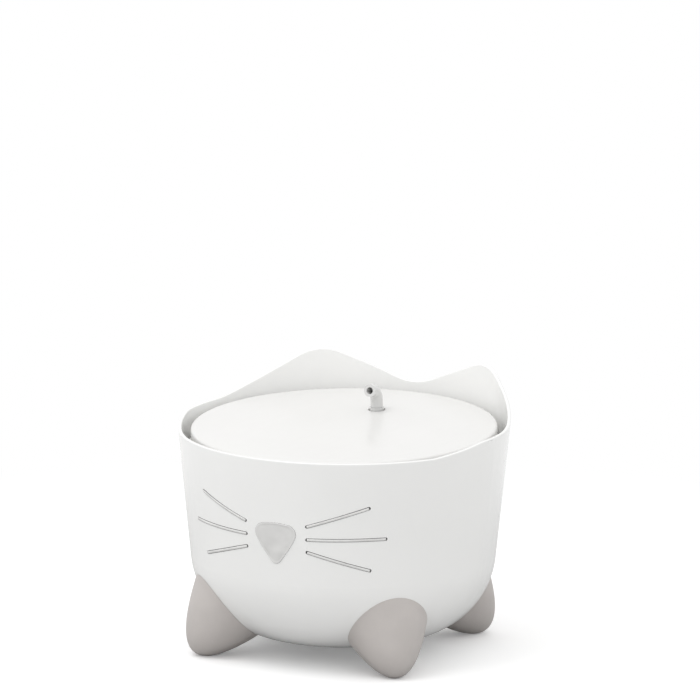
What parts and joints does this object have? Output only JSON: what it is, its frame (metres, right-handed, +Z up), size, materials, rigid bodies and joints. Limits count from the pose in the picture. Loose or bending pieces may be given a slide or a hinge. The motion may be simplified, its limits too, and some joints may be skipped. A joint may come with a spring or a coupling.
{
  "type": "pet water fountain",
  "caption": "Cat-faced drinking fountain: bowl with ears and paws, a pump, a riser tube, a filter tray, a round lid and a small curved spout that all lift out.",
  "frame": {"origin": "on the floor under the middle of the bowl", "axes": "+Z up, the cat face looks along -Y, +X on the right of someone facing it"},
  "size_m": [0.2388, 0.2386, 0.1936],
  "materials": {
    "bowl_shell": "gloss",
    "paw": "satin",
    "clear_window": "gloss",
    "stainless": "satin",
    "tray_shell": "gloss",
    "lid_shell": "gloss",
    "spout_plastic": "satin",
    "seal_rubber": "matte",
    "cartridge": "gloss",
    "carbon": "granular",
    "resin": "granular",
    "cover_film": "satin",
    "riser_plastic": "gloss",
    "pump_plastic": "satin",
    "rotor_plastic": "satin",
    "ceramic": "gloss",
    "core_steel": "satin",
    "winding": "satin",
    "lamp_red": "gloss",
    "lead_jacket": "satin"
  },
  "bodies": {
    "bowl": {"bowl": "bowl_shell", "paw_front_left": "paw", "paw_front_right": "paw", "paw_rear_right": "paw", "paw_rear_left": "paw", "paw_screws": "stainless", "nose_window": "clear_window", "whisker_windows": "clear_window"},
    "tray": {"filter_tray": "tray_shell", "outlet_cap": "tray_shell"},
    "ring": {"lift_ring": "tray_shell"},
    "lid": {"lid": "lid_shell"},
    "spout": {"spout_plug": "spout_plastic", "spout_seal": "seal_rubber"},
    "elbow": {"spout_elbow": "spout_plastic"},
    "filter": {"filter_tub": "cartridge", "carbon_grains": "carbon", "resin_grains": "resin", "filter_film": "cover_film"},
    "riser": {"riser_tube": "riser_plastic"},
    "pump": {"pump_housing": "pump_plastic", "pump_base": "pump_plastic", "intake_cover": "pump_plastic", "impeller_shaft": "ceramic", "shaft_bushes": "seal_rubber", "stator_core": "core_steel", "stator_coils": "winding", "lamp_lens": "lamp_red", "lead_clamp": "pump_plastic", "lead_gland": "pump_plastic", "power_gland": "pump_plastic", "lead_loop": "lead_jacket"},
    "impeller": {"impeller": "rotor_plastic"},
    "knob": {"flow_knob": "pump_plastic"}
  },
  "joints": [
    {"name": "tray_lift", "type": "slide", "parent": "bowl", "child": "tray", "axis": [0, 0, 1], "range_m": [0, 0.17257]},
    {"name": "lid_lift", "type": "slide", "parent": "tray", "child": "lid", "axis": [0, 0, 1], "range_m": [0, 0.07913]},
    {"name": "spout_pull", "type": "slide", "parent": "lid", "child": "spout", "axis": [0, 0, 1], "range_m": [0, 0.02898]},
    {"name": "spout_swivel", "type": "hinge", "parent": "spout", "child": "elbow", "pos_m": [0, 0.055, 0.165], "axis": [0, 0, 1], "range_deg": [-90, 0]},
    {"name": "filter_lift", "type": "slide", "parent": "tray", "child": "filter", "axis": [0, 0, 1], "range_m": [0, 0.05946]},
    {"name": "ring_fold", "type": "hinge", "parent": "tray", "child": "ring", "pos_m": [0.034, 0.052, 0.1501], "axis": [1, 0, 0], "range_deg": [0, 90]},
    {"name": "pump_lift", "type": "slide", "parent": "bowl", "child": "pump", "axis": [0, 0, 1], "range_m": [0, 0.13951]},
    {"name": "riser_lift", "type": "slide", "parent": "pump", "child": "riser", "axis": [0, 0, 1], "range_m": [0, 0.01253]},
    {"name": "flow_knob_turn", "type": "hinge", "parent": "pump", "child": "knob", "pos_m": [-0.02355, 0.02894, 0.045], "axis": [-0.7314, -0.682, 0], "range_deg": [-120, 120]},
    {"name": "impeller_spin", "type": "hinge", "parent": "pump", "child": "impeller", "pos_m": [-0.01004, 0.0511, 0.0395], "axis": [0.7314, 0.682, 0], "continuous": true}
  ],
  "couplings": [
    {"joint": "filter_lift", "follows": "lid_lift", "ratio": 0.7514},
    {"joint": "ring_fold", "follows": "lid_lift", "rad_per_m": 19.85},
    {"joint": "pump_lift", "follows": "tray_lift", "ratio": 0.8084},
    {"joint": "riser_lift", "follows": "tray_lift", "ratio": 0.0726}
  ]
}
